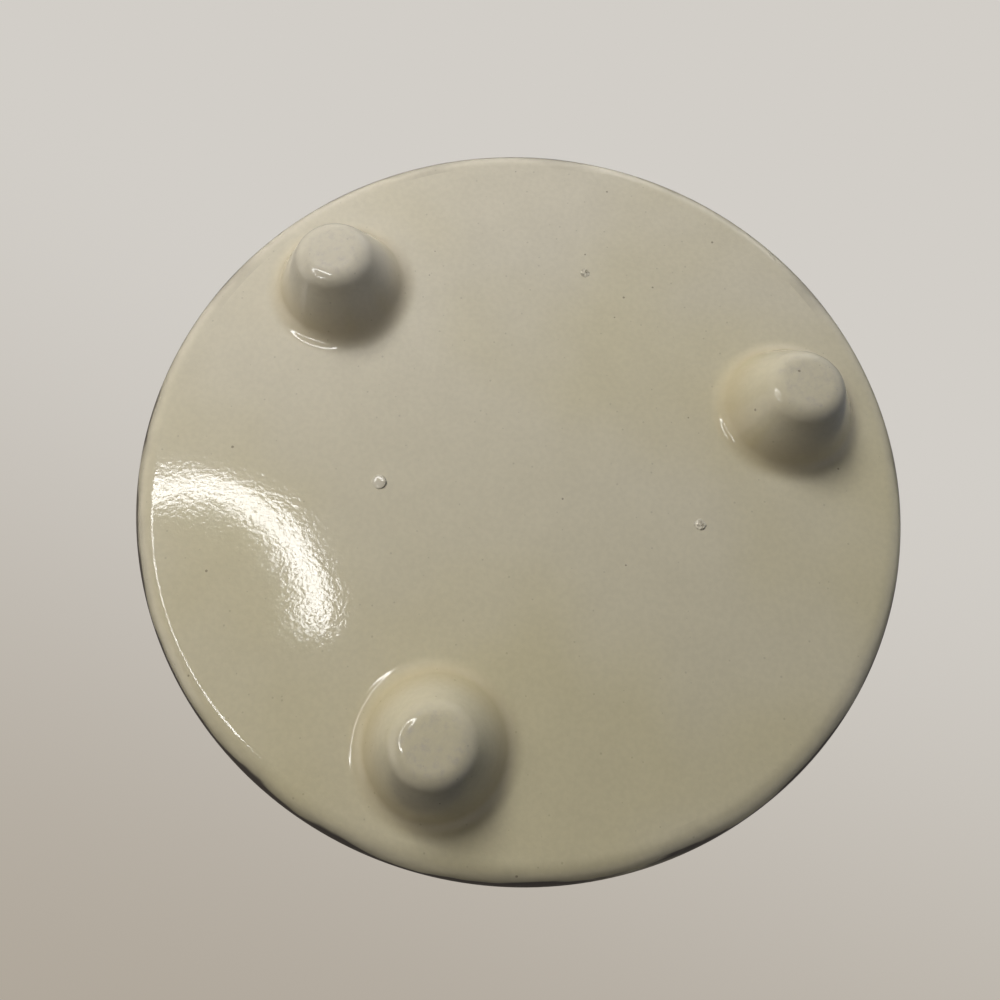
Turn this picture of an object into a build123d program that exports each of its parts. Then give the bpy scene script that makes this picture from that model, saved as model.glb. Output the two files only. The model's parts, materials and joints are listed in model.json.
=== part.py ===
"""Ceramic storage jar on three conical feet, with a plug lid and a silicone seal.

Lengths are in millimetres. The origin is on the jar's axis, on the plane that the feet stand on, and +Z is up.
The jar and the lid are slip-cast earthenware, so the feet and the knob are hollow and one with what carries them.
"""

import os
from math import atan2, isclose, pi, sqrt, tan

from build123d import *

# Wall, base and rim of the jar
base_radius = 60.0
belly_bulge = 1.5
rim_taper = 1.0
body_height = 95.0
belly_height_share = 0.45
wall_thickness = 5.0
floor_thickness = 6.0
base_edge_rounding = 3.6
floor_corner_rounding = 4.5

# Mouth of the jar: a straight collar inside the rim that takes the lid's plug
rim_thickness = 5.5
mouth_depth = 16.0
mouth_blend_rounding = 8.0
rim_outer_rounding = 2.0
rim_inner_rounding = 1.5

# Feet, and the hollow that each one leaves in the floor above it
foot_count = 3
first_foot_angle = 90.0
foot_height = 10.0
foot_tip_radius = 5.1
foot_root_radius = 10.7
foot_tip_rounding = 1.7
foot_root_rounding = 3.2
foot_to_edge_land = 0.325
foot_sole = 6.0
foot_wall = 6.5
foot_hollow_end_share = 0.66
foot_hollow_rounding = 1.0

# Lid: a shallow dome with a flange on the rim and a plug in the mouth
lid_overhang = 0.8
flange_thickness = 4.5
flange_top_rounding = 1.9
flange_under_rounding = 1.2
dome_height = 12.0
lid_wall = 4.8
plug_gap = 2.2
plug_lip_height = 3.2
plug_wall = 4.5
plug_end_rounding = 1.3
plug_root_rounding = 0.8
dome_corner_rounding = 3.0

# Knob on the dome, with the bore that drains it in the mould
neck_radius = 8.5
neck_length = 6.0
knob_radius = 17.0
knob_under_height = 6.0
knob_crown_height = 6.5
knob_rim_rounding = 4.0
neck_root_rounding = 2.6
neck_top_rounding = 2.4
knob_bore_radius = 3.6
knob_bore_end_rounding = 2.4
knob_bore_lip_rounding = 0.8

# Seal: a band in the plug's groove, with lips that reach for the wall of the mouth
groove_below_rim = 3.4
groove_height = 6.4
groove_depth = 2.2
seal_groove_gap = 0.1
seal_mouth_gap = 0.3
lip_count = 3
lip_root_thickness = 1.1
lip_tip_thickness = 0.5
lip_rise = 0.5

# Heights above the plane of the feet
base_z = foot_height
floor_z = base_z + floor_thickness
belly_z = base_z + body_height * belly_height_share
rim_z = base_z + body_height
mouth_z = rim_z - mouth_depth
flange_z = rim_z + flange_thickness
crown_z = rim_z + dome_height
groove_top_z = rim_z - groove_below_rim
groove_end_z = groove_top_z - groove_height
plug_end_z = groove_end_z - plug_lip_height

# Radii that follow from the sizes above
belly_radius = base_radius + belly_bulge
rim_radius = base_radius - rim_taper
mouth_radius = rim_radius - rim_thickness
floor_radius = base_radius - wall_thickness
flange_radius = rim_radius + lid_overhang
plug_radius = mouth_radius - plug_gap
plug_bore_radius = plug_radius - plug_wall
groove_radius = plug_radius - groove_depth
foot_slant = atan2(foot_root_radius - foot_tip_radius, foot_height)
foot_flare_radius = foot_root_radius + foot_root_rounding * tan(pi / 4 - foot_slant / 2)
foot_circle_radius = base_radius - base_edge_rounding - foot_to_edge_land - foot_flare_radius
foot_hollow_radius = foot_root_radius - foot_wall
foot_hollow_end_radius = foot_hollow_radius * foot_hollow_end_share


def circles(part, radius):
    """The circular edges of this radius on a part, lowest first."""
    round_edges = part.edges().filter_by(GeomType.CIRCLE)
    return round_edges.filter_by(lambda edge: isclose(edge.radius, radius, rel_tol=1e-6)).sort_by(Axis.Z)


def cap_sphere(edge_radius, rise):
    """The radius of the sphere whose cap has this rise over this edge radius."""
    return (edge_radius**2 + rise**2) / (2 * rise)


def cap_z(radius, top_z, sphere_radius):
    """The height of a cap at a radius from its axis."""
    return top_z - sphere_radius + sqrt(sphere_radius**2 - radius**2)


def cap_arc(inner_radius, outer_radius, top_z, sphere_radius):
    """Draws a cap's section between two radii."""
    radii = (inner_radius, (inner_radius + outer_radius) / 2, outer_radius)
    ThreePointArc(*[(radius, cap_z(radius, top_z, sphere_radius)) for radius in radii])


os.makedirs("parts", exist_ok=True)

# Jar body: the revolved pot, the feet that stand out of its base and their hollows
with BuildPart() as jar_body:
    with BuildSketch(Plane.XZ):
        with BuildLine():
            Line((0, base_z), (base_radius, base_z))
            ThreePointArc((base_radius, base_z), (belly_radius, belly_z), (rim_radius, rim_z))
            Polyline((rim_radius, rim_z), (mouth_radius, rim_z), (mouth_radius, mouth_z))
            ThreePointArc((mouth_radius, mouth_z), (belly_radius - wall_thickness, belly_z), (floor_radius, floor_z))
            Polyline((floor_radius, floor_z), (0, floor_z), (0, base_z))
        make_face()
    revolve(axis=Axis.Z)
    fillet(circles(jar_body, base_radius), base_edge_rounding)
    fillet(circles(jar_body, floor_radius), floor_corner_rounding)
    fillet(circles(jar_body, mouth_radius)[0], mouth_blend_rounding)
    fillet(circles(jar_body, mouth_radius)[-1], rim_inner_rounding)
    fillet(circles(jar_body, rim_radius), rim_outer_rounding)

    with PolarLocations(foot_circle_radius, foot_count, start_angle=first_foot_angle):
        Cone(foot_tip_radius, foot_root_radius, foot_height, align=(Align.CENTER, Align.CENTER, Align.MIN))
    fillet(circles(jar_body, foot_root_radius), foot_root_rounding)
    fillet(circles(jar_body, foot_tip_radius), foot_tip_rounding)

    with BuildSketch(Plane.XY.offset(foot_sole)) as hollow_ends:
        with PolarLocations(foot_circle_radius, foot_count, start_angle=first_foot_angle):
            Circle(foot_hollow_end_radius)
    with BuildSketch(Plane.XY.offset(floor_z)) as hollow_mouths:
        with PolarLocations(foot_circle_radius, foot_count, start_angle=first_foot_angle):
            Circle(foot_hollow_radius)
    for end, mouth in zip(hollow_ends.sketch.faces(), hollow_mouths.sketch.faces()):
        loft([end, mouth], mode=Mode.SUBTRACT)
    fillet(circles(jar_body, foot_hollow_radius) + circles(jar_body, foot_hollow_end_radius), foot_hollow_rounding)
jar_body.part.label = "jar_body"
export_step(jar_body.part, "parts/jar_body.step")

# Lid: one revolved section of dome, flange, grooved plug, hollow underside, bored neck and knob
dome_sphere = cap_sphere(flange_radius, dome_height - flange_thickness)
neck_foot_z = cap_z(neck_radius, crown_z, dome_sphere)
neck_top_z = neck_foot_z + neck_length
knob_z = neck_top_z + knob_under_height
knob_top_z = knob_z + knob_crown_height
knob_sphere = cap_sphere(knob_radius, knob_crown_height)
vault_z = crown_z - lid_wall
spring_z = cap_z(plug_bore_radius, crown_z, dome_sphere) - lid_wall
vault_sphere = cap_sphere(plug_bore_radius, vault_z - spring_z)
bore_mouth_z = cap_z(knob_bore_radius, vault_z, vault_sphere)

with BuildPart() as lid:
    with BuildSketch(Plane.XZ):
        with BuildLine():
            cap_arc(0, knob_radius, knob_top_z, knob_sphere)
            Polyline((knob_radius, knob_z), (neck_radius, neck_top_z), (neck_radius, neck_foot_z))
            cap_arc(neck_radius, flange_radius, crown_z, dome_sphere)
            Polyline((flange_radius, flange_z), (flange_radius, rim_z), (plug_radius, rim_z))
            Polyline((plug_radius, rim_z), (plug_radius, groove_top_z), (groove_radius, groove_top_z))
            Polyline((groove_radius, groove_top_z), (groove_radius, groove_end_z), (plug_radius, groove_end_z))
            Polyline((plug_radius, groove_end_z), (plug_radius, plug_end_z), (plug_bore_radius, plug_end_z))
            Line((plug_bore_radius, plug_end_z), (plug_bore_radius, spring_z))
            cap_arc(knob_bore_radius, plug_bore_radius, vault_z, vault_sphere)
            Polyline((knob_bore_radius, bore_mouth_z), (knob_bore_radius, knob_z), (0, knob_z), (0, knob_top_z))
        make_face()
    revolve(axis=Axis.Z)
    fillet(circles(lid, flange_radius)[0], flange_under_rounding)
    fillet(circles(lid, flange_radius)[-1], flange_top_rounding)
    fillet(circles(lid, plug_radius)[-1], plug_root_rounding)
    fillet(circles(lid, plug_radius)[0], plug_end_rounding)
    fillet(circles(lid, plug_bore_radius)[0], plug_end_rounding)
    fillet(circles(lid, plug_bore_radius)[-1], dome_corner_rounding)
    fillet(circles(lid, neck_radius)[0], neck_root_rounding)
    fillet(circles(lid, neck_radius)[-1], neck_top_rounding)
    fillet(circles(lid, knob_radius), knob_rim_rounding)
    fillet(circles(lid, knob_bore_radius)[-1], knob_bore_end_rounding)
    fillet(circles(lid, knob_bore_radius)[0], knob_bore_lip_rounding)
lid.part.label = "lid"
export_step(lid.part, "parts/lid.step")

# Lid seal: a band that stands on the groove's lower face, with lips spread over its height
band_inner_radius = groove_radius + seal_groove_gap
band_middle_radius = (band_inner_radius + plug_radius) / 2
band_top_z = groove_top_z - seal_groove_gap
lip_tip_radius = mouth_radius - seal_mouth_gap
lip_pitch = (band_top_z - groove_end_z) / lip_count

with BuildPart() as lid_seal:
    with BuildSketch(Plane.XZ):
        with BuildLine():
            Polyline(
                (band_inner_radius, groove_end_z),
                (plug_radius, groove_end_z),
                (plug_radius, band_top_z),
                (band_inner_radius, band_top_z),
                close=True,
            )
        make_face()
        for lip in range(lip_count):
            lip_z = groove_end_z + lip_pitch * (lip + 0.5)
            with BuildLine():
                Polyline(
                    (band_middle_radius, lip_z - lip_root_thickness / 2),
                    (plug_radius, lip_z - lip_root_thickness / 2),
                    (lip_tip_radius, lip_z + lip_rise - lip_tip_thickness / 2),
                    (lip_tip_radius, lip_z + lip_rise + lip_tip_thickness / 2),
                    (plug_radius, lip_z + lip_root_thickness / 2),
                    (band_middle_radius, lip_z + lip_root_thickness / 2),
                    close=True,
                )
            make_face()
    revolve(axis=Axis.Z)
lid_seal.part.label = "lid_seal"
export_step(lid_seal.part, "parts/lid_seal.step")
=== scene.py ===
"""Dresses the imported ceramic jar: a glazed pot on three feet, its lid with a knob, the lid's seal and a plain stage."""

import json
import math

import bmesh
import bpy
from mathutils import Matrix, Vector

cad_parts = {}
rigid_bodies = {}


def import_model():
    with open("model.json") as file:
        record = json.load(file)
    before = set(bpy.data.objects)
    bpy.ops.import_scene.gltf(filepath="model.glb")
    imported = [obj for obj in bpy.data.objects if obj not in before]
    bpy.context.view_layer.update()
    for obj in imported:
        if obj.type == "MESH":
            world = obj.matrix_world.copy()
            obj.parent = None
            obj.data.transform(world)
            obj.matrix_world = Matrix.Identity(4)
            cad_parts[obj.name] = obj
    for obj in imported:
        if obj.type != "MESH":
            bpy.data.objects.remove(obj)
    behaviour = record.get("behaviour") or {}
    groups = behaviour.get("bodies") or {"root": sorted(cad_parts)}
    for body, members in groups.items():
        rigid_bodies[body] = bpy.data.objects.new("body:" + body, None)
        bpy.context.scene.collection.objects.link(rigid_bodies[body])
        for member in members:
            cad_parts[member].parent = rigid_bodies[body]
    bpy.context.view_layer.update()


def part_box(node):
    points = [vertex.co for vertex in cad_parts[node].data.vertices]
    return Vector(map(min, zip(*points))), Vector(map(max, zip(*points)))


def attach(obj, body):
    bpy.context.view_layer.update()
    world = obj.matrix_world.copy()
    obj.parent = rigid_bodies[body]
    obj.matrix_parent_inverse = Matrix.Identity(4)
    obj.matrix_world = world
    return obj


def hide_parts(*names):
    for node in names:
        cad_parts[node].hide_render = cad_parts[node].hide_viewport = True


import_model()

bl_info = {
    "name": "Glazed ceramic jar",
    "version": (1, 0, 0),
    "blender": (4, 5, 0),
    "location": "3D View > Sidebar > Jar",
    "description": "Models and glazes a ceramic storage jar around its CAD frame",
    "category": "Mesh",
}

MM = 0.001
MERGE_WITHIN = 0.001 * MM
POT_STEPS, FOOT_STEPS, LID_STEPS = 256, 96, 224
ROUNDING_STEPS, CURVE_STEPS = 10, 16
# How far past a line's end a rounding may still touch it, as a share of the line
ROUNDING_SLACK = 0.01

# Flats at the ends of a section, in radii of the roundings beside them
ROOT_FLAT, CORNER_FLAT = 0.65, 1.15
# Reach of the dome on a foot's tip before it is rounded, in radii of the tip
TIP_REACH = 1.3
FOOT_COUNT, FIRST_FOOT_ANGLE = 3, math.radians(90.0)
LIP_COUNT = 3
GROOVE_EASE, SEAL_EASE = 0.15 * MM, 0.12 * MM

# Sizes of the features in the glaze, the broken clay and the silicone, in mm
CLOUD_SIZE, MOTTLE_SIZE, GRAIN_SIZE, SMUDGE_SIZE = 45.0, 6.0, 0.9, 1.4
WANDER_SIZE, STREAK_SIZE, STREAK_SQUEEZE = 14.0, 16.0, 7.0
SWELL_SIZE, PEEL_SIZE, CRUMB_SIZE, DUST_SIZE, MATT_SIZE = 9.0, 0.65, 0.5, 5.0, 0.4
SWELL_DEPTH, PEEL_DEPTH, CRUMB_DEPTH, MATT_DEPTH = 0.05 * MM, 0.017 * MM, 0.1 * MM, 0.006 * MM
GLAZE_IOR, SILICONE_IOR = 1.52, 1.41

# Smooth steps: two limits of a value, and what the step gives at each of them, or 0 and 1
CLOUD_STEP = (0.42, 0.72, 0.0, 0.6)
# Painted shade: how strongly the yellower tint grows across the base
SHADE_SIDE_STEP = (-40.0 * MM, 40.0 * MM, 0.0, 0.55)
MOTTLE_STEP = (0.3, 0.7, 0.985, 1.012)
GRAIN_STEP = (0.3, 0.7, 0.975, 1.02)
# Heights on the feet and distances from their axes where gathered glaze and painted shade are laid
ROOT_STEP = (3.0 * MM, 9.0 * MM)
GATHERED_GLAZE_AND_SHADE_STEP = (9.5 * MM, 13.0 * MM, 0.5, 0.0)
RUB_STEP = (0.2 * MM, 0.7 * MM, 1.0, 0.0)
SMUDGE_STEP = (0.42, 0.95)
FOOT_PEEL_STEP = (12.0 * MM, 16.0 * MM, 0.3 * PEEL_DEPTH, PEEL_DEPTH)
THIN_STEP = (0.3, 0.5, 0.78, 1.0)
GLOSS_STEP = (0.3, 0.7, 0.05, 0.08)
SCAR_GLOSS_STEP = (0.0, 1.0, 0.6, 0.12)
DUST_STEP = (0.3, 0.7, 0.95, 1.02)
SATIN_STEP = (0.3, 0.7, 0.38, 0.5)
# Way across the base along which the painted shade grows, darker and yellower towards the bottom of the main view
SHADE_SIDE_TO = (0.31, 0.95, 0.0)
# Iron specks and pinholes: their grid in mm, the step from chance to radius in cells, and how strongly they show
DOTS = [(4.0, (0.4, 1.0, 0.0, 0.055), 0.55), (1.5, (0.2, 1.0, 0.0, 0.11), 0.2)]
# Softness of the border between bare clay and glaze
BARE_SOFTNESS = 0.08
# Roughness that the wash and the wear of the tips add
WASH_DULLS, WEAR_DULLS = 0.4, 0.35

# Ends of the wash on the base, over the rim, under the flange's top, and under and over the knob's edge
BASE_WASH_LOW, BASE_WASH_HIGH = 11.35 * MM, 17.0 * MM
FLANGE_WASH_OVER, FLANGE_WASH_UNDER = 1.0 * MM, 0.6 * MM
KNOB_WASH_UNDER, KNOB_WASH_OVER = 0.9 * MM, 1.3 * MM
# How far the wash wanders and frays, how far it leans across the jar, how soft its borders are, and the stain below it
WASH_WANDER, WASH_FRAY, WASH_LEAN = 2.0 * MM, 2.4 * MM, (-0.0029, -0.0018, 0.0)
WASH_RISE, WASH_FALL, WASH_INSIDE = 0.3 * MM, 0.4 * MM, 0.1 * MM
WASH_STAIN, STAIN_SHARE = 1.3 * MM, 0.36

# Settings of a smooth step, and settings and colour sockets of a Mix node
SMOOTH = {"interpolation_type": "SMOOTHSTEP"}
BLEND = {"out": 2, "data_type": "RGBA"}
MIX_A, MIX_B = 6, 7

# The main view is from below. Places there are given to the right, up and out of the base, as the picture shows them.
VIEW_TURN = Matrix.Rotation(math.radians(-12.26), 4, "Z")
VIEW_TILT, VIEW_ROLL = math.radians(17.63), math.radians(4.69)


def linear(code):
    """A colour written as sRGB hex digits, as linear red, green, blue and alpha."""
    parts = [int(code[i : i + 2], 16) / 255 for i in (0, 2, 4)]
    return tuple(p / 12.92 if p <= 0.04045 else ((p + 0.055) / 1.055) ** 2.4 for p in parts) + (1.0,)


def size(name, description, millimetres):
    """A length that a user may change, given in millimetres."""
    return bpy.props.FloatProperty(
        name=name, description=description, default=millimetres * MM, min=0.0, unit="LENGTH", precision=5
    )


def colour(name, description, code):
    """A colour that a user may change, given as sRGB hex digits."""
    return bpy.props.FloatVectorProperty(
        name=name, description=description, default=linear(code), size=4, min=0.0, max=1.0, subtype="COLOR"
    )


class JarSizes(bpy.types.PropertyGroup):
    """Sizes of the turned and cast pieces, the same as the CAD model's except round the tips of the feet"""

    base_radius: size("Base radius", "Radius of the wall at the base, before its edge is rounded", 60.0)
    belly_radius: size("Belly radius", "Largest radius of the wall", 61.5)
    rim_radius: size("Rim radius", "Radius of the wall at the rim", 59.0)
    base_height: size("Base height", "Height of the base over the tips of the feet", 10.0)
    belly_height: size("Belly height", "Height of the wall's largest radius", 52.75)
    wall: size("Wall", "Thickness of the wall at the belly and the floor's edge", 5.0)
    floor_thickness: size("Floor thickness", "Thickness of the floor over the base", 6.0)
    base_edge: size("Base edge", "Rounding between base and wall", 3.6)
    floor_corner: size("Floor corner", "Rounding between floor and wall inside", 4.5)
    rim_thickness: size("Rim thickness", "Thickness of the wall at the rim", 5.5)
    mouth_depth: size("Mouth depth", "Depth of the straight collar inside the rim", 16.0)
    mouth_blend: size("Mouth blend", "Rounding between the collar and the wall inside", 8.0)
    rim_outer: size("Outer rim rounding", "Rounding of the rim's outer edge", 2.0)
    rim_inner: size("Inner rim rounding", "Rounding of the rim's inner edge", 1.5)
    foot_circle: size("Foot circle", "Radius of the circle that the feet stand on", 43.5)
    foot_tip: size("Foot tip", "Radius of a foot at its tip", 5.1)
    foot_root: size("Foot root", "Radius of a foot at the base, before its root is rounded", 10.7)
    foot_tip_rounding: size("Foot tip rounding", "Rounding round a foot's tip, with its glaze", 3.4)
    foot_tip_dome: size("Foot tip dome", "Radius of the slight dome that glaze and wear give a foot's tip", 60.0)
    foot_root_rounding: size("Foot root rounding", "Rounding between a foot and the base", 3.2)
    hollow_mouth: size("Hollow mouth", "Radius of the hollow over a foot, at the floor", 4.2)
    hollow_end: size("Hollow end", "Radius of the hollow over a foot, at its end", 2.772)
    hollow_rounding: size("Hollow rounding", "Roundings of the hollow over a foot", 1.0)
    foot_sole: size("Foot sole", "Height at which the hollow over a foot ends", 6.0)
    flange_radius: size("Flange radius", "Radius of the lid's flange", 59.8)
    flange_thickness: size("Flange thickness", "Height of the lid's edge over the rim", 4.5)
    flange_top: size("Flange top rounding", "Rounding between the lid's edge and its dome", 1.9)
    flange_under: size("Flange under rounding", "Rounding of the lid's edge over the rim", 1.2)
    dome_height: size("Dome height", "Height of the lid's dome over the rim", 12.0)
    lid_wall: size("Lid wall", "Thickness of the lid's dome", 4.8)
    plug_radius: size("Plug radius", "Radius of the plug under the lid", 51.3)
    plug_bore: size("Plug bore", "Radius of the hollow in the plug", 46.8)
    plug_rounding: size("Plug rounding", "Roundings at the plug's end", 1.3)
    plug_root: size("Plug root rounding", "Rounding between plug and flange", 0.8)
    vault_corner: size("Vault corner", "Rounding between the plug's bore and the dome's inside", 3.0)
    groove_radius: size("Groove radius", "Radius of the bottom of the seal's groove", 49.1)
    groove_top: size("Groove top", "Height of the seal's groove under the rim", 3.4)
    groove_height: size("Groove height", "Height of the seal's groove", 6.4)
    neck_radius: size("Neck radius", "Radius of the knob's neck", 8.5)
    neck_length: size("Neck length", "Height of the knob's neck", 6.0)
    neck_root: size("Neck root rounding", "Rounding between neck and dome", 2.6)
    neck_top: size("Neck top rounding", "Rounding between neck and knob", 2.4)
    knob_radius: size("Knob radius", "Radius of the knob, before its edge is rounded", 17.0)
    knob_under: size("Knob underside", "Height of the knob's cone over the neck", 6.0)
    knob_crown: size("Knob crown", "Height of the knob's crown", 6.5)
    knob_edge: size("Knob edge", "Rounding of the knob's edge", 4.0)
    bore_radius: size("Bore radius", "Radius of the bore that drains the knob in the mould", 3.6)
    bore_end: size("Bore end rounding", "Rounding at the end of the bore", 2.4)
    bore_lip: size("Bore lip rounding", "Rounding at the mouth of the bore", 0.8)
    seal_gap: size("Seal gap", "Clearance between the seal's band and its groove", 0.1)
    lip_radius: size("Lip radius", "Radius at the tips of the seal's lips", 53.2)
    lip_root: size("Lip root", "Thickness of a lip at the band", 1.1)
    lip_tip: size("Lip tip", "Thickness of a lip at its tip", 0.5)
    lip_rise: size("Lip rise", "Height that a lip gains from root to tip", 0.5)


class JarFinishes(bpy.types.PropertyGroup):
    """Colours of the glaze, the edge wash and the seal"""

    cream: colour("Cream glaze", "The glaze where it has its usual thickness", "d0cab9")
    # Also the colour of the painted yellower shade on one side of the base
    clouded_glaze_and_shade: colour("Warm glaze", "The glaze where it lies thicker, in broad clouds", "cac2a3")
    # Glaze that ran together round the feet, and also the painted shade on the feet's lower flanks
    pool: colour("Pooled glaze", "The glaze where it ran together round the feet", "b9a981")
    worn: colour("Worn tip", "The glaze on the tips of the feet, dulled by shelves", "b3aca4")
    wash: colour("Edge wash", "Charcoal underglaze wiped round the edges by hand", "3c342d")
    speck: colour("Iron speck", "Iron in the clay that has burnt through", "5b5143")
    scar: colour("Stilt scar", "Bare clay where a kiln stilt was broken off", "aaa391")
    silicone: colour("Silicone", "Milky silicone of the seal", "dbdad2")


class StageSettings(bpy.types.PropertyGroup):
    """The floor, the backdrop and the lamps"""

    floor: colour("Floor", "Pale floor under the jar", "c6c2bc")
    contact_shade: colour("Floor contact", "The floor where the jar keeps the light from it", "4d4843")
    backdrop: colour("Backdrop", "Pale backdrop behind the jar", "d2cec8")
    backdrop_shade: colour("Backdrop shade", "The backdrop where it falls away from the lamps", "aea598")
    ring_lamp: bpy.props.FloatProperty(
        name="Ring lamp", description="Brightness of the lamp that the glaze mirrors", default=17.0, min=0.0
    )


# Sections are lines of points (radius, height) that an upright axis turns into a piece.


def circle_run(first, middle, last, steps=CURVE_STEPS):
    """A run along the circle through three points."""
    a, b = middle - first, last - first
    scale = 2 * a.cross(b)
    offset = Vector((b.y * a.length_squared - a.y * b.length_squared, a.x * b.length_squared - b.x * a.length_squared))
    centre = first + offset / scale
    reach = (first - centre).length
    return [centre + (first - centre).slerp(last - centre, i / steps) * reach for i in range(steps + 1)]


def cap_height(radius, top, sphere):
    """The height of a spherical cap at a radius from its axis."""
    return top - sphere + math.sqrt(sphere**2 - radius**2)


def cap_run(inner, outer, top, sphere, steps=CURVE_STEPS):
    """A run along a spherical cap from one radius to another."""
    radii = [inner + (outer - inner) * i / steps for i in range(steps + 1)]
    return [Vector((radius, cap_height(radius, top, sphere))) for radius in radii]


def cap_sphere(edge_radius, rise):
    """The radius of the sphere whose cap has this rise over this edge radius."""
    return (edge_radius**2 + rise**2) / (2 * rise)


def straight_run(*points):
    """A run of straight lines through (radius, height) pairs."""
    return [Vector(point) for point in points]


def round_corner(line, run, radius):
    """Joins a run to the line that ends at its start, with a rounding that touches both."""
    side = math.copysign(radius, (line[-1] - line[-2]).cross(run[1] - run[0]))
    for i in reversed(range(len(line) - 1)):
        way_in = line[i + 1] - line[i]
        start = way_in.normalized().orthogonal() * -side
        for j in range(len(run) - 1):
            way_out = run[j + 1] - run[j]
            end = way_out.normalized().orthogonal() * -side
            apart, across = run[j] - end - line[i] + start, way_in.cross(way_out)
            shares = [apart.cross(way) / across for way in (way_out, way_in)] if across else [-1.0]
            if all(-ROUNDING_SLACK < share < 1 + ROUNDING_SLACK for share in shares):
                centre = line[i] - start + way_in * shares[0]
                turns = [start.slerp(end, k / ROUNDING_STEPS) for k in range(ROUNDING_STEPS + 1)]
                return line[: i + 1] + [centre + turn * radius for turn in turns] + run[j + 1 :]
    raise ValueError(f"no room for a rounding of {radius / MM:.2f} mm in a section")


def rounded_section(runs, roundings):
    """One line through runs that meet at corners, each corner rounded to its radius."""
    line = list(runs[0])
    for run, radius in zip(runs[1:], roundings):
        line = round_corner(line, run, radius) if radius else line + run[1:]
    return line


def start_piece(name):
    """A new mesh object, empty and in edit mode."""
    bpy.ops.object.select_all(action="DESELECT")
    bpy.ops.mesh.primitive_plane_add()
    piece = bpy.context.object
    piece.name = piece.data.name = name
    bpy.ops.object.mode_set(mode="EDIT")
    bpy.ops.mesh.delete(type="VERT")
    return piece


def turn_section(section, steps, axis=(0.0, 0.0)):
    """Draws a section by extruding one corner along it, and spins it round an upright axis."""
    centre = Vector((*axis, 0.0))
    bpy.ops.mesh.select_all(action="DESELECT")
    bpy.ops.mesh.primitive_plane_add(size=MM, location=centre)
    bpy.ops.mesh.merge(type="CENTER")
    bpy.ops.transform.translate(value=(section[0].x, 0.0, section[0].y))
    for here, there in zip(section, section[1:]):
        step = there - here
        bpy.ops.mesh.extrude_region_move(TRANSFORM_OT_translate={"value": (step.x, 0.0, step.y)})
    bpy.ops.mesh.select_linked()
    bpy.ops.mesh.spin(steps=steps, angle=math.tau, center=centre, axis=(0.0, 0.0, 1.0))
    bpy.ops.mesh.select_linked()
    bpy.ops.mesh.remove_doubles(threshold=MERGE_WITHIN)


def repeat_round_axis(count):
    """Copies the selected shape evenly round the jar's axis."""
    for _ in range(count - 1):
        bpy.ops.mesh.duplicate()
        bpy.ops.transform.rotate(value=math.tau / count, orient_axis="Z", center_override=(0.0, 0.0, 0.0))


def fill_between_rings(height):
    """Closes the flat between all the open rings at a height."""
    bpy.ops.mesh.select_mode(type="EDGE")
    bpy.ops.mesh.select_all(action="DESELECT")
    data = bpy.context.object.data
    shape = bmesh.from_edit_mesh(data)
    for edge in shape.edges:
        if edge.is_boundary and all(abs(corner.co.z - height) < MERGE_WITHIN for corner in edge.verts):
            edge.select_set(True)
    bmesh.update_edit_mesh(data)
    bpy.ops.mesh.fill(use_beauty=True)
    bpy.ops.mesh.select_mode(type="VERT")


def finish_piece(piece, material):
    """Merges what meets, points the faces outwards, and gives the piece its material."""
    bpy.ops.mesh.select_all(action="SELECT")
    bpy.ops.mesh.remove_doubles(threshold=MERGE_WITHIN)
    bpy.ops.mesh.normals_make_consistent(inside=False)
    bpy.ops.object.mode_set(mode="OBJECT")
    bpy.ops.object.shade_smooth()
    piece.data.materials.append(material)


def add(tree, kind, inputs=(), out=0, **settings):
    """Adds a node with its settings, sets or links its inputs, in order or by name, and returns one of its outputs."""
    node = tree.nodes.new("ShaderNode" + kind)
    for name, value in settings.items():
        setattr(node, name, value)
    for name, value in inputs.items() if isinstance(inputs, dict) else enumerate(inputs):
        if isinstance(value, bpy.types.NodeSocket):
            tree.links.new(value, node.inputs[name])
        else:
            node.inputs[name].default_value = value
    return node.outputs[out]


def per_size(millimetres):
    """The scale of a texture whose features have this size."""
    return 1.0 / (millimetres * MM)


def new_material(name):
    """A new material, its node tree and its shader."""
    material = bpy.data.materials.new(name)
    material.use_nodes = True
    return material, material.node_tree, material.node_tree.nodes["Principled BSDF"]


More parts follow.
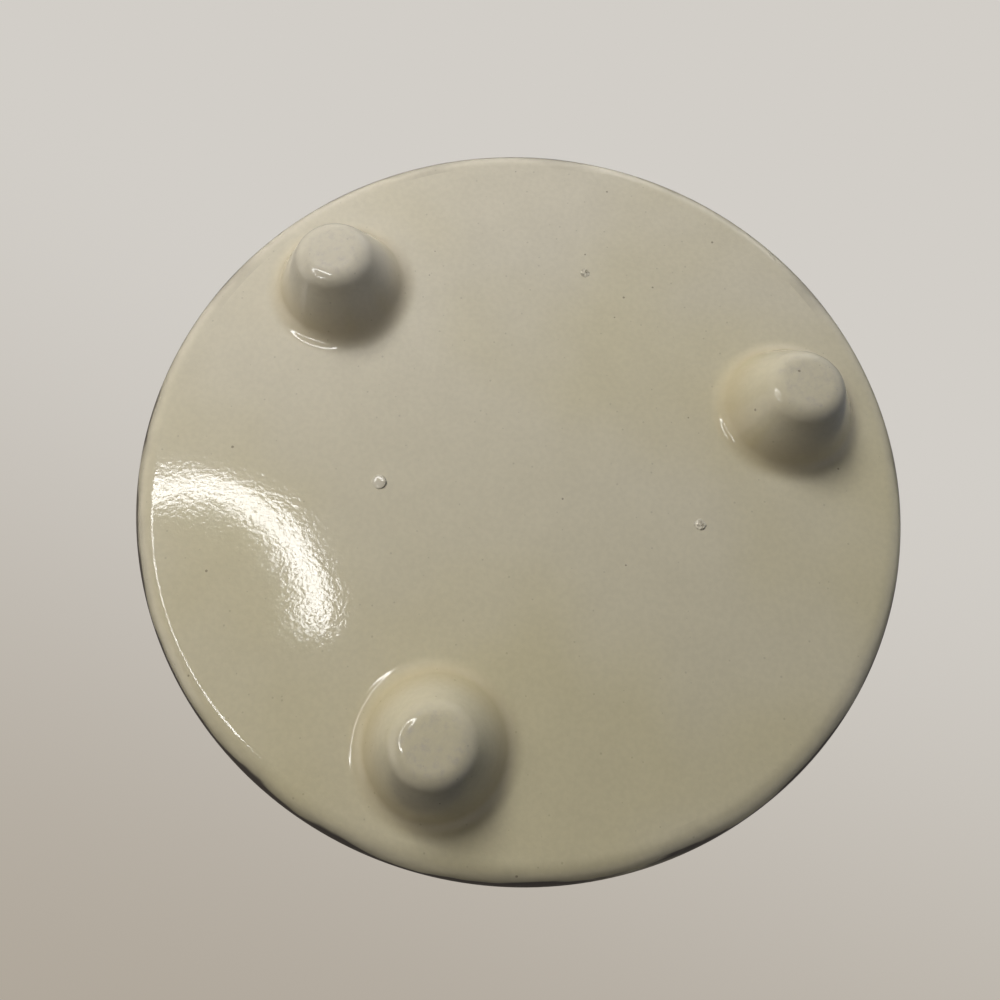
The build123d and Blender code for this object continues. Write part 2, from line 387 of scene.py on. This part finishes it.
def cream_glaze(name, finishes, wash_bands, feet=()):
    """Slip-cast earthenware, dipped in a cream glaze and fired once more.

    The glaze is glossy, with an orange-peel skin that frays a lamp's mirror image. It clouds where it lies thicker,
    gathers round the feet's roots and lets iron specks through. A yellower painted shade darkens one side of the base
    and the lower flanks of the feet. A wiped charcoal wash shows along the edges.
    """
    material, tree, shader = new_material(name)
    place = add(tree, "TexCoord", out="Object")
    x, y, z = (add(tree, "SeparateXYZ", (place,), out=axis) for axis in "XYZ")
    flat = add(tree, "CombineXYZ", (x, y))
    radius = add(tree, "VectorMath", (flat,), out="Value", operation="LENGTH")

    # Broad clouds where the glaze lies thicker, plus a yellower painted shade that grows on one side of the base
    clouds = add(tree, "TexNoise", {"Vector": place, "Scale": per_size(CLOUD_SIZE), "Detail": 2.0})
    cloud_and_shade_share = add(tree, "MapRange", (clouds, *CLOUD_STEP), **SMOOTH)
    shaded_side = add(tree, "VectorMath", (flat, SHADE_SIDE_TO), out="Value", operation="DOT_PRODUCT")
    shaded_side = add(tree, "MapRange", (shaded_side, *SHADE_SIDE_STEP), **SMOOTH)
    cloud_and_shade_share = add(tree, "Math", (cloud_and_shade_share, shaded_side), operation="ADD", use_clamp=True)
    tint = add(tree, "Mix", {"Factor": cloud_and_shade_share, MIX_A: finishes.cream, MIX_B: finishes.clouded_glaze_and_shade}, **BLEND)

    # Mottling and finer grain
    mottle = add(tree, "TexNoise", {"Vector": place, "Scale": per_size(MOTTLE_SIZE), "Detail": 3.0})
    grain = add(tree, "TexNoise", {"Vector": place, "Scale": per_size(GRAIN_SIZE), "Detail": 2.0})
    for texture, step in ((mottle, MOTTLE_STEP), (grain, GRAIN_STEP)):
        value = add(tree, "MapRange", (texture, *step), **SMOOTH)
        tint = add(tree, "HueSaturation", {"Value": value, "Color": tint})

    # Feet: glaze that ran together round their roots, with painted yellowish shade on their lower flanks and in the
    # crease at the base, tips that shelves have dulled, and a smoother skin
    peel_depth = PEEL_DEPTH
    if feet:
        away = [add(tree, "VectorMath", (flat, (*foot, 0.0)), out="Value", operation="DISTANCE") for foot in feet]
        nearest = away[0]
        for other in away[1:]:
            nearest = add(tree, "Math", (nearest, other), operation="MINIMUM")
        rooted = add(tree, "MapRange", (z, *ROOT_STEP), **SMOOTH)
        close = add(tree, "MapRange", (nearest, *GATHERED_GLAZE_AND_SHADE_STEP), **SMOOTH)
        gathered_glaze_and_shade_share = add(tree, "Math", (rooted, close), operation="MULTIPLY")
        tint = add(tree, "Mix", {"Factor": gathered_glaze_and_shade_share, MIX_A: tint, MIX_B: finishes.pool}, **BLEND)
        rubbed = add(tree, "MapRange", (z, *RUB_STEP), **SMOOTH)
        smears = {"Vector": place, "Scale": per_size(SMUDGE_SIZE), "Detail": 4.0, "Roughness": 0.7}
        smudge = add(tree, "MapRange", (add(tree, "TexNoise", smears), *SMUDGE_STEP), **SMOOTH)
        dullness = add(tree, "Math", (smudge, rubbed), operation="MULTIPLY")
        tint = add(tree, "Mix", {"Factor": dullness, MIX_A: tint, MIX_B: finishes.worn}, **BLEND)
        peel_depth = add(tree, "MapRange", (nearest, *FOOT_PEEL_STEP), **SMOOTH)

    # Iron specks and pinholes, up to about 0.4 mm across
    for grid, step, share in DOTS:
        cells = {"Vector": place, "Scale": per_size(grid)}
        reach = add(tree, "TexVoronoi", cells, out="Distance")
        chance = add(tree, "SeparateColor", (add(tree, "TexVoronoi", cells, out="Color"),))
        extent = add(tree, "MapRange", (chance, *step), **SMOOTH)
        dot = add(tree, "Math", (reach, extent), operation="LESS_THAN")
        dot = add(tree, "Math", (dot, share), operation="MULTIPLY")
        tint = add(tree, "Mix", {"Factor": dot, MIX_A: tint, MIX_B: finishes.speck}, **BLEND)

    # Charcoal wash wiped along the edges: its borders wander, and the cloth left long, low streaks that fray them
    wander = add(tree, "TexNoise", {"Vector": place, "Scale": per_size(WANDER_SIZE), "Detail": 3.0})
    along = add(tree, "Mapping", {"Vector": place, "Scale": (1.0, 1.0, STREAK_SQUEEZE)})
    streak = add(tree, "TexNoise", {"Vector": along, "Scale": per_size(STREAK_SIZE), "Detail": 3.0, "Roughness": 0.5})
    border = add(tree, "Math", (wander, WASH_WANDER, z), operation="MULTIPLY_ADD")
    border = add(tree, "Math", (streak, WASH_FRAY, border), operation="MULTIPLY_ADD")
    leaning = add(tree, "VectorMath", (flat, WASH_LEAN), out="Value", operation="DOT_PRODUCT")
    border = add(tree, "Math", (border, leaning), operation="ADD")
    shift = (WASH_WANDER + WASH_FRAY) / 2
    washed = 0.0
    for low, high, least_radius in wash_bands:
        start, end = low + shift, high + shift
        rise = add(tree, "MapRange", (border, start - WASH_RISE, start + WASH_RISE), **SMOOTH)
        stain = add(tree, "MapRange", (border, start - WASH_STAIN, start, 0.0, STAIN_SHARE), **SMOOTH)
        rise = add(tree, "Math", (rise, stain), operation="MAXIMUM")
        fall = add(tree, "MapRange", (border, end - WASH_FALL, end + WASH_FALL, 1.0, 0.0), **SMOOTH)
        outer = add(tree, "MapRange", (radius, least_radius - WASH_INSIDE, least_radius), **SMOOTH)
        band = add(tree, "Math", (rise, fall), operation="MULTIPLY")
        band = add(tree, "Math", (band, outer), operation="MULTIPLY")
        washed = add(tree, "Math", (washed, band), operation="MAXIMUM")
    thinned = add(tree, "MapRange", (streak, *THIN_STEP), **SMOOTH)
    washed = add(tree, "Math", (washed, thinned), operation="MULTIPLY")
    tint = add(tree, "Mix", {"Factor": washed, MIX_A: tint, MIX_B: finishes.wash}, **BLEND)
    tree.links.new(tint, shader.inputs["Base Color"])

    # Gloss: slightly uneven, and duller in the wash and on worn tips
    gloss = add(tree, "MapRange", (clouds, *GLOSS_STEP), **SMOOTH)
    gloss = add(tree, "Math", (washed, WASH_DULLS, gloss), operation="MULTIPLY_ADD")
    if feet:
        gloss = add(tree, "Math", (dullness, WEAR_DULLS, gloss), operation="MULTIPLY_ADD")
    tree.links.new(gloss, shader.inputs["Roughness"])
    shader.inputs["IOR"].default_value = GLAZE_IOR

    # Skin: long swells under a fine orange peel, which is shallower on the feet
    swell = add(tree, "TexNoise", {"Vector": place, "Scale": per_size(SWELL_SIZE), "Detail": 1.0})
    peel = add(tree, "TexNoise", {"Vector": place, "Scale": per_size(PEEL_SIZE), "Detail": 2.0})
    skin = add(tree, "Bump", {"Height": swell, "Distance": SWELL_DEPTH, "Strength": 1.0})
    skin = add(tree, "Bump", {"Height": peel, "Distance": peel_depth, "Strength": 1.0, "Normal": skin})
    tree.links.new(skin, shader.inputs["Normal"])
    return material


def stilt_scar(name, finishes, bare):
    """Clay that broke where a kiln stilt stood: matte and crumbly where it is bare, with beads of glaze that glint."""
    material, tree, shader = new_material(name)
    place = add(tree, "TexCoord", out="Object")
    crumb = add(tree, "TexNoise", {"Vector": place, "Scale": per_size(CRUMB_SIZE), "Detail": 3.0})
    glazed = add(tree, "MapRange", (crumb, bare - BARE_SOFTNESS, bare + BARE_SOFTNESS), **SMOOTH)
    tint = add(tree, "Mix", {"Factor": glazed, MIX_A: finishes.scar, MIX_B: finishes.cream}, **BLEND)
    tree.links.new(tint, shader.inputs["Base Color"])
    gloss = add(tree, "MapRange", (glazed, *SCAR_GLOSS_STEP), **SMOOTH)
    tree.links.new(gloss, shader.inputs["Roughness"])
    grain = add(tree, "Bump", {"Height": crumb, "Distance": CRUMB_DEPTH * bare, "Strength": 1.0})
    tree.links.new(grain, shader.inputs["Normal"])
    return material


def milky_silicone(finishes):
    """Moulded silicone rubber: milky, with a satin skin that takes up a little dust."""
    material, tree, shader = new_material("moulded_silicone")
    place = add(tree, "TexCoord", out="Object")
    dust = add(tree, "TexNoise", {"Vector": place, "Scale": per_size(DUST_SIZE), "Detail": 4.0})
    shade = add(tree, "MapRange", (dust, *DUST_STEP), **SMOOTH)
    tint = add(tree, "HueSaturation", {"Value": shade, "Color": finishes.silicone})
    tree.links.new(tint, shader.inputs["Base Color"])
    gloss = add(tree, "MapRange", (dust, *SATIN_STEP), **SMOOTH)
    tree.links.new(gloss, shader.inputs["Roughness"])
    shader.inputs["IOR"].default_value = SILICONE_IOR
    matt = add(tree, "TexNoise", {"Vector": place, "Scale": per_size(MATT_SIZE), "Detail": 1.0})
    skin = add(tree, "Bump", {"Height": matt, "Distance": MATT_DEPTH, "Strength": 1.0})
    tree.links.new(skin, shader.inputs["Normal"])
    return material


def seen_from_below(right, up, out, base):
    """A place in the CAD frame from its place in the main view, in metres from the middle of the base."""
    return VIEW_TURN @ Vector((right, -up, base - out))


def foot_places(sizes):
    """The axes of the feet, seen from above."""
    angles = [FIRST_FOOT_ANGLE + i * math.tau / FOOT_COUNT for i in range(FOOT_COUNT)]
    return [(sizes.foot_circle * math.cos(angle), sizes.foot_circle * math.sin(angle)) for angle in angles]


class JAR_OT_pot(bpy.types.Operator):
    """Turn the wall, spin the feet and the hollows over them, and close base and floor between them"""

    bl_idname = "jar.pot"
    bl_label = "Pot with feet"

    def execute(self, context):
        s = context.scene.jar_sizes
        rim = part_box("jar_body")[1].z
        floor = s.base_height + s.floor_thickness
        mouth = s.rim_radius - s.rim_thickness
        mouth_end = rim - s.mouth_depth
        floor_radius = s.base_radius - s.wall
        belly_inside = Vector((s.belly_radius - s.wall, s.belly_height))
        base_corner, rim_corner = Vector((s.base_radius, s.base_height)), Vector((s.rim_radius, rim))
        collar_end, floor_end = Vector((mouth, mouth_end)), Vector((floor_radius, floor))
        wall = rounded_section(
            [
                straight_run((s.base_radius - s.base_edge, s.base_height), base_corner),
                circle_run(base_corner, Vector((s.belly_radius, s.belly_height)), rim_corner),
                straight_run(rim_corner, (mouth, rim)),
                straight_run((mouth, rim), collar_end),
                circle_run(collar_end, belly_inside, floor_end),
                straight_run(floor_end, (floor_radius - CORNER_FLAT * s.floor_corner, floor)),
            ],
            [s.base_edge, s.rim_outer, s.rim_inner, s.mouth_blend, s.floor_corner],
        )
        root_start = s.foot_root + ROOT_FLAT * s.foot_root_rounding
        dome = cap_run(TIP_REACH * s.foot_tip, 0.0, 0.0, s.foot_tip_dome)
        foot = rounded_section(
            [
                straight_run((root_start, s.base_height), (s.foot_root, s.base_height)),
                straight_run((s.foot_root, s.base_height), (s.foot_tip, 0.0)),
                [Vector((point.x, -point.y)) for point in dome],
            ],
            [s.foot_root_rounding, s.foot_tip_rounding],
        )
        hollow = rounded_section(
            [
                straight_run((s.hollow_mouth + CORNER_FLAT * s.hollow_rounding, floor), (s.hollow_mouth, floor)),
                straight_run((s.hollow_mouth, floor), (s.hollow_end, s.foot_sole)),
                straight_run((s.hollow_end, s.foot_sole), (0.0, s.foot_sole)),
            ],
            [s.hollow_rounding, s.hollow_rounding],
        )
        pot = start_piece("glazed_pot")
        turn_section(wall, POT_STEPS)
        feet = foot_places(s)
        for section in (foot, hollow):
            turn_section(section, FOOT_STEPS, feet[0])
            repeat_round_axis(FOOT_COUNT)
        for height in (s.base_height, floor):
            fill_between_rings(height)
        base_wash = (BASE_WASH_LOW, BASE_WASH_HIGH, s.base_radius - s.base_edge)
        finish_piece(pot, cream_glaze("cream_glazed_earthenware_pot", context.scene.jar_finishes, [base_wash], feet))
        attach(pot, "jar")
        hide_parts("jar_body")
        return {"FINISHED"}


# Stilt marks as seen in the base: place right, up and out in the main view, radius, height and roughness, all in mm,
# how far the mark's top leans to the right and up, the share of bare clay, and a seed
STILT_MARKS = [
    ("stilt_mark_left", (-21.95, -4.60, 0.12), 1.20, 0.26, 0.008, (-0.18, -0.18), 0.0, 4),
    ("stilt_mark_top", (8.07, 35.48, 0.0), 0.85, 0.12, 0.12, (0.0, 0.0), 0.5, 7),
    ("stilt_mark_right", (27.68, -7.27, 0.0), 0.95, 0.24, 0.17, (-0.08, -0.08), 0.42, 11),
]
# Rings from the foot of a mark to its top: shares of its radius and its height
MARK_RINGS = [(1.0, 0.0), (1.0, 0.2), (0.95, 0.52), (0.75, 0.69), (0.5, 0.86), (0.27, 0.96), (0.08, 1.0)]
MARK_SIDES, MARK_SMOOTHING = 18, 2
MARK_SUNK = 0.7 * MM


class JAR_OT_stilt_marks(bpy.types.Operator):
    """Raise the low pimple and the broken crumbs that the kiln stilts left in the glaze of the base"""

    bl_idname = "jar.stilt_marks"
    bl_label = "Stilt marks"

    def execute(self, context):
        base = context.scene.jar_sizes.base_height
        for name, place, radius, height, roughness, lean, bare, seed in STILT_MARKS:
            right, up, out = Vector(place) * MM
            top = seen_from_below(*lean, 1.0, 0.0).normalized()
            middle = seen_from_below(right, up, out, base) - top * MARK_SUNK
            mark = start_piece(name)
            bpy.ops.mesh.primitive_circle_add(
                vertices=MARK_SIDES,
                radius=radius * MM,
                fill_type="NGON",
                location=middle,
                rotation=top.to_track_quat("Z", "Y").to_euler(),
            )
            for (share, low), (next_share, high) in zip(MARK_RINGS, MARK_RINGS[1:]):
                step = top * ((high - low) * height * MM + (MARK_SUNK if low == 0.0 else 0.0))
                middle += step
                bpy.ops.mesh.extrude_region_move(TRANSFORM_OT_translate={"value": step})
                bpy.ops.transform.resize(value=[next_share / share] * 3, center_override=middle)
            bpy.ops.mesh.select_all(action="SELECT")
            bpy.ops.transform.vertex_random(offset=roughness * MM, uniform=1.0, seed=seed)
            finish_piece(mark, stilt_scar(f"{name}_clay", context.scene.jar_finishes, bare))
            rounding = mark.modifiers.new("rounding", "SUBSURF")
            rounding.levels = rounding.render_levels = MARK_SMOOTHING
            bpy.ops.object.modifier_apply(modifier=rounding.name)
            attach(mark, "jar")
        return {"FINISHED"}


class JAR_OT_lid(bpy.types.Operator):
    """Turn the lid in one section: knob, neck, dome, flange, grooved plug, vault and the knob's bore"""

    bl_idname = "jar.lid"
    bl_label = "Lid with knob"

    def execute(self, context):
        s = context.scene.jar_sizes
        low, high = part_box("lid")
        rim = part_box("jar_body")[1].z
        crown, flange_top, vault = rim + s.dome_height, rim + s.flange_thickness, rim + s.dome_height - s.lid_wall
        dome = cap_sphere(s.flange_radius, s.dome_height - s.flange_thickness)
        neck_foot = cap_height(s.neck_radius, crown, dome)
        neck_end = neck_foot + s.neck_length
        knob_edge = neck_end + s.knob_under
        knob_sphere = cap_sphere(s.knob_radius, s.knob_crown)
        spring = cap_height(s.plug_bore, crown, dome) - s.lid_wall
        vault_sphere = cap_sphere(s.plug_bore, vault - spring)
        bore_mouth = cap_height(s.bore_radius, vault, vault_sphere)
        groove_top = rim - s.groove_top
        groove_end = groove_top - s.groove_height
        section = rounded_section(
            [
                cap_run(0.0, s.knob_radius, high.z, knob_sphere),
                straight_run((s.knob_radius, knob_edge), (s.neck_radius, neck_end)),
                straight_run((s.neck_radius, neck_end), (s.neck_radius, neck_foot)),
                cap_run(s.neck_radius, s.flange_radius, crown, dome),
                straight_run((s.flange_radius, flange_top), (s.flange_radius, rim)),
                straight_run((s.flange_radius, rim), (s.plug_radius, rim)),
                straight_run((s.plug_radius, rim), (s.plug_radius, groove_top)),
                straight_run((s.plug_radius, groove_top), (s.groove_radius, groove_top)),
                straight_run((s.groove_radius, groove_top), (s.groove_radius, groove_end)),
                straight_run((s.groove_radius, groove_end), (s.plug_radius, groove_end)),
                straight_run((s.plug_radius, groove_end), (s.plug_radius, low.z)),
                straight_run((s.plug_radius, low.z), (s.plug_bore, low.z)),
                straight_run((s.plug_bore, low.z), (s.plug_bore, spring)),
                cap_run(s.plug_bore, s.bore_radius, vault, vault_sphere),
                straight_run((s.bore_radius, bore_mouth), (s.bore_radius, knob_edge)),
                straight_run((s.bore_radius, knob_edge), (0.0, knob_edge)),
            ],
            [
                s.knob_edge,
                s.neck_top,
                s.neck_root,
                s.flange_top,
                s.flange_under,
                s.plug_root,
                *[GROOVE_EASE] * 4,
                s.plug_rounding,
                s.plug_rounding,
                s.vault_corner,
                s.bore_lip,
                s.bore_end,
            ],
        )
        lid = start_piece("glazed_lid")
        turn_section(section, LID_STEPS)
        flange_wash = (rim + FLANGE_WASH_OVER, flange_top - FLANGE_WASH_UNDER, s.plug_radius)
        knob_wash = (knob_edge - KNOB_WASH_UNDER, knob_edge + KNOB_WASH_OVER, s.neck_radius)
        washes = [flange_wash, knob_wash]
        finish_piece(lid, cream_glaze("cream_glazed_earthenware_lid", context.scene.jar_finishes, washes))
        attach(lid, "lid")
        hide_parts("lid")
        return {"FINISHED"}


class JAR_OT_seal(bpy.types.Operator):
    """Turn the seal: a band in the plug's groove with lips that reach for the wall of the mouth"""

    bl_idname = "jar.seal"
    bl_label = "Silicone seal"

    def execute(self, context):
        s = context.scene.jar_sizes
        low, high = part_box("lid_seal")
        inside = s.groove_radius + s.seal_gap
        pitch = (high.z - low.z) / LIP_COUNT
        corners = [(inside, low.z), (s.plug_radius, low.z)]
        for lip in range(LIP_COUNT):
            root = low.z + pitch * (lip + 0.5)
            tip = root + s.lip_rise
            corners += [
                (s.plug_radius, root - s.lip_root / 2),
                (s.lip_radius, tip - s.lip_tip / 2),
                (s.lip_radius, tip + s.lip_tip / 2),
                (s.plug_radius, root + s.lip_root / 2),
            ]
        corners += [(s.plug_radius, high.z), (inside, high.z), (inside, low.z)]
        runs = [straight_run(a, b) for a, b in zip(corners, corners[1:])]
        seal = start_piece("silicone_seal")
        turn_section(rounded_section(runs, [SEAL_EASE] * (len(runs) - 1)), LID_STEPS)
        finish_piece(seal, milky_silicone(context.scene.jar_finishes))
        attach(seal, "lid")
        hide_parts("lid_seal")
        return {"FINISHED"}


# The camera: its place right, up and out in the main view, its lens in mm, and how near it sees
CAMERA_PLACE = (-3.12 * MM, -43.08 * MM, 117.0 * MM)
CAMERA_LENS = 28.8
CLIP_START = 5.0 * MM

# Lamps round the jar: place, width and height in metres, watts, colour, and whether the glaze mirrors them
ROUND_LAMPS = [
    ("key_lamp", (-0.55, -0.75, 0.80), 0.6, 0.6, 5.5, "fffaf4", False),
    ("right_lamp", (0.80, -0.38, 0.85), 0.6, 0.6, 6.0, "f6f8ff", False),
    ("left_lamp", (-0.90, 0.38, 0.80), 0.6, 0.6, 4.5, "ffffff", False),
    ("back_lamp", (0.15, 0.80, 1.05), 0.6, 0.6, 6.5, "ffffff", False),
    ("overhead_lamp", (-0.12, -0.10, 1.00), 0.35, 0.35, 0.5, "ffffff", True),
    ("front_softbox", (0.14, -0.99, -0.22), 0.45, 0.45, 0.35, "ffffff", True),
    ("left_softbox", (-0.95, 0.39, -0.12), 0.7, 0.7, 1.0, "fff6ea", True),
]
LAMP_AIM = (0.0, 0.0, 70.0 * MM)
# Lamps under the base: place right, up and out in the main view, size, watts and colour; the glaze doesn't mirror them
LOW_LAMPS = [
    ("window_lamp", (-0.130, 0.225, 0.302), 0.15, 1.25, "fffdfa"),
    ("cool_fill", (0.270, 0.080, 0.130), 0.12, 0.07, "b8ccff"),
    ("ring_fill", (-0.1225, -0.0099, 0.180), 0.11, 0.055, "fff4e0"),
]
# The ring lamp that the base mirrors: the middle, radius, width and ends of its visible part
RING_MIDDLE, RING_OUT, RING_RADIUS, RING_WIDTH = (-0.1225, -0.0099), 0.180, 0.056, 0.0104
RING_START, RING_SWEEP, RING_STEPS = math.radians(6.0), math.radians(284.0), 96
# The floor in metres: its size, where it fades into the backdrop, its hole, and how far the jar keeps light from it
FLOOR_SIZE, FLOOR_FADE, FLOOR_ROUGHNESS = 8.0, (0.30, 1.10), 0.9
FLOOR_HOLE, CONTACT_REACH, CONTACT_SAMPLES = 80.0 * MM, 45.0 * MM, 8
# Smooth steps of the surround over a direction's height, from -1 below to 1 above: the soft light, the part of the
# backdrop that has shade, and the two whose product the glaze mirrors
SOFT_STEP, OVERHEAD_STEP = (-0.1, 0.5, 0.01, 0.26), (0.5, 0.7)
MIRROR_STEPS = [(-0.7, -0.4, 0.1, 0.75), (0.0, 0.35, 1.0, 0.4)]
# The way that the backdrop gets lighter in the main view, and the smooth step of its shade along it
LIGHTER_TO, SHADE_STEP = (0.25, -1.0, 0.0), (-0.5, 0.5, 1.0, 0.0)


class JAR_OT_stage(bpy.types.Operator):
    """Set up the pale floor and backdrop, the soft lamps and the camera of the main view"""

    bl_idname = "jar.stage"
    bl_label = "Stage"

    def execute(self, context):
        stage, base = context.scene.jar_stage, context.scene.jar_sizes.base_height
        self.add_floor(stage)
        self.add_ring_lamp(stage, base)
        self.add_lamps(base)
        self.set_world(context.scene, stage)
        place = seen_from_below(*CAMERA_PLACE, base)
        turn = VIEW_TURN @ Matrix.Rotation(math.pi + VIEW_TILT, 4, "X") @ Matrix.Rotation(VIEW_ROLL, 4, "Z")
        bpy.ops.object.camera_add(location=place, rotation=turn.to_euler())
        camera = context.object
        camera.data.lens = CAMERA_LENS
        camera.data.clip_start = CLIP_START
        context.scene.camera = camera
        context.scene.view_settings.view_transform = "Standard"
        return {"FINISHED"}

    def add_floor(self, stage):
        """A floor that is seen from above only, with a painted contact shadow round the jar and a hole under the jar
        that is there for light and not for sight.
        """
        bpy.ops.object.select_all(action="DESELECT")
        bpy.ops.mesh.primitive_plane_add(size=FLOOR_SIZE)
        floor = bpy.context.object
        floor.name = "floor"
        floor.visible_glossy = floor.visible_transmission = floor.visible_shadow = False
        material, tree, shader = new_material("pale_paper_floor")
        # Painted contact shadow: ambient occlusion darkens the floor's colour near the jar
        open_air = add(tree, "AmbientOcclusion", {"Distance": CONTACT_REACH}, out="AO", samples=CONTACT_SAMPLES)
        tone = add(tree, "Mix", {"Factor": open_air, MIX_A: stage.contact_shade, MIX_B: stage.floor}, **BLEND)
        tree.links.new(tone, shader.inputs["Base Color"])
        shader.inputs["Roughness"].default_value = FLOOR_ROUGHNESS
        far = add(tree, "VectorMath", (add(tree, "TexCoord", out="Object"),), out="Value", operation="LENGTH")
        fade = add(tree, "MapRange", (far, *FLOOR_FADE), **SMOOTH)
        distant = add(tree, "Emission", {"Color": stage.backdrop})
        lit = add(tree, "MixShader", (fade, shader.outputs[0], distant))
        hole = add(tree, "Math", (far, FLOOR_HOLE), operation="LESS_THAN")
        sight = add(tree, "LightPath", out="Is Camera Ray")
        clear = add(tree, "Math", (hole, sight), operation="SUBTRACT")
        clear = add(tree, "Math", (clear, add(tree, "NewGeometry", out="Backfacing")), operation="MAXIMUM")
        seen = add(tree, "MixShader", (clear, lit, add(tree, "BsdfTransparent")))
        tree.links.new(seen, tree.nodes["Material Output"].inputs["Surface"])
        floor.data.materials.append(material)

    def add_ring_lamp(self, stage, base):
        """The part of a ring lamp under the base whose mirror image crosses the glaze."""
        middle = seen_from_below(*RING_MIDDLE, RING_OUT, base)
        lamp = start_piece("ring_lamp")
        bpy.ops.mesh.primitive_plane_add(size=RING_WIDTH, location=middle)
        bpy.ops.mesh.merge(type="CENTER")
        start = VIEW_TURN @ Vector((math.cos(RING_START), -math.sin(RING_START), 0.0))
        bpy.ops.transform.translate(value=start * (RING_RADIUS - RING_WIDTH / 2))
        bpy.ops.mesh.extrude_region_move(TRANSFORM_OT_translate={"value": start * RING_WIDTH})
        bpy.ops.mesh.select_all(action="SELECT")
        bpy.ops.mesh.spin(steps=RING_STEPS, angle=RING_SWEEP, center=middle, axis=(0.0, 0.0, 1.0))
        bpy.ops.object.mode_set(mode="OBJECT")
        material, tree, _ = new_material("ring_lamp_glow")
        glow = add(tree, "Emission", {"Strength": stage.ring_lamp})
        tree.links.new(glow, tree.nodes["Material Output"].inputs["Surface"])
        lamp.data.materials.append(material)
        lamp.visible_camera = lamp.visible_diffuse = False

    def add_lamps(self, base):
        """Soft lamps round the jar for the views from the side and above, and three under it for the main view."""
        low_lamps = [
            (name, seen_from_below(*place, base), width, width, watts, code, False)
            for name, place, width, watts, code in LOW_LAMPS
        ]
        for name, place, width, height, watts, code, mirrored in ROUND_LAMPS + low_lamps:
            aim = Vector(LAMP_AIM) - Vector(place)
            bpy.ops.object.light_add(type="AREA", location=place, rotation=aim.to_track_quat("-Z", "Y").to_euler())
            lamp = bpy.context.object
            lamp.name = name
            lamp.data.shape, lamp.data.size, lamp.data.size_y, lamp.data.energy = "RECTANGLE", width, height, watts
            lamp.data.color = linear(code)[:3]
            lamp.visible_camera = False
            lamp.visible_glossy = mirrored

    def set_world(self, scene, stage):
        """A soft surround, dimmer from below, with the pale backdrop for the camera."""
        world = bpy.data.worlds.new("studio")
        world.use_nodes = True
        scene.world = world
        tree = world.node_tree
        way = add(tree, "TexCoord", out="Generated")
        height = add(tree, "SeparateXYZ", (way,), out="Z")
        soft = add(tree, "Background", {"Strength": add(tree, "MapRange", (height, *SOFT_STEP), **SMOOTH)})
        lighter_to = VIEW_TURN @ Vector(LIGHTER_TO)
        lighter = add(tree, "VectorMath", (way, lighter_to), out="Value", operation="DOT_PRODUCT")
        shade = add(tree, "MapRange", (lighter, *SHADE_STEP), **SMOOTH)
        overhead = add(tree, "MapRange", (height, *OVERHEAD_STEP), **SMOOTH)
        shade = add(tree, "Math", (shade, overhead), operation="MULTIPLY")
        tone = add(tree, "Mix", {"Factor": shade, MIX_A: stage.backdrop, MIX_B: stage.backdrop_shade}, **BLEND)
        rays = ("Camera", "Glossy", "Transmission")
        camera, glossy, transmission = (add(tree, "LightPath", out=f"Is {ray} Ray") for ray in rays)
        rising, falling = (add(tree, "MapRange", (height, *step), **SMOOTH) for step in MIRROR_STEPS)
        mirrored = add(tree, "Math", (rising, falling), operation="MULTIPLY")
        strength = add(tree, "Math", (camera, mirrored), operation="MAXIMUM")
        shown = add(tree, "Background", {"Color": tone, "Strength": strength})
        sight = add(tree, "Math", (camera, glossy), operation="MAXIMUM")
        sight = add(tree, "Math", (sight, transmission), operation="MAXIMUM")
        seen = add(tree, "MixShader", (sight, soft, shown))
        tree.links.new(seen, tree.nodes["World Output"].inputs["Surface"])


class JAR_PT_dressing(bpy.types.Panel):
    """Sizes, colours and steps of the jar in the 3D view's sidebar"""

    bl_idname = "JAR_PT_dressing"
    bl_label = "Ceramic jar"
    bl_space_type = "VIEW_3D"
    bl_region_type = "UI"
    bl_category = "Jar"

    def draw(self, context):
        for operator in OPERATORS:
            self.layout.operator(operator.bl_idname)
        for group in (context.scene.jar_sizes, context.scene.jar_finishes, context.scene.jar_stage):
            column = self.layout.column()
            for name in group.__annotations__:
                column.prop(group, name)


OPERATORS = [JAR_OT_pot, JAR_OT_stilt_marks, JAR_OT_lid, JAR_OT_seal, JAR_OT_stage]
CLASSES = [JarSizes, JarFinishes, StageSettings, *OPERATORS, JAR_PT_dressing]


def register():
    """Registers the classes and keeps their settings on the scene."""
    for one in CLASSES:
        bpy.utils.register_class(one)
    bpy.types.Scene.jar_sizes = bpy.props.PointerProperty(type=JarSizes)
    bpy.types.Scene.jar_finishes = bpy.props.PointerProperty(type=JarFinishes)
    bpy.types.Scene.jar_stage = bpy.props.PointerProperty(type=StageSettings)


def unregister():
    """Takes the settings and the classes away again."""
    del bpy.types.Scene.jar_sizes, bpy.types.Scene.jar_finishes, bpy.types.Scene.jar_stage
    for one in reversed(CLASSES):
        bpy.utils.unregister_class(one)


def main():
    """Builds the dressed jar and its stage."""
    register()
    bpy.ops.jar.pot()
    bpy.ops.jar.stilt_marks()
    bpy.ops.jar.lid()
    bpy.ops.jar.seal()
    bpy.ops.jar.stage()


if __name__ == "__main__":
    main()
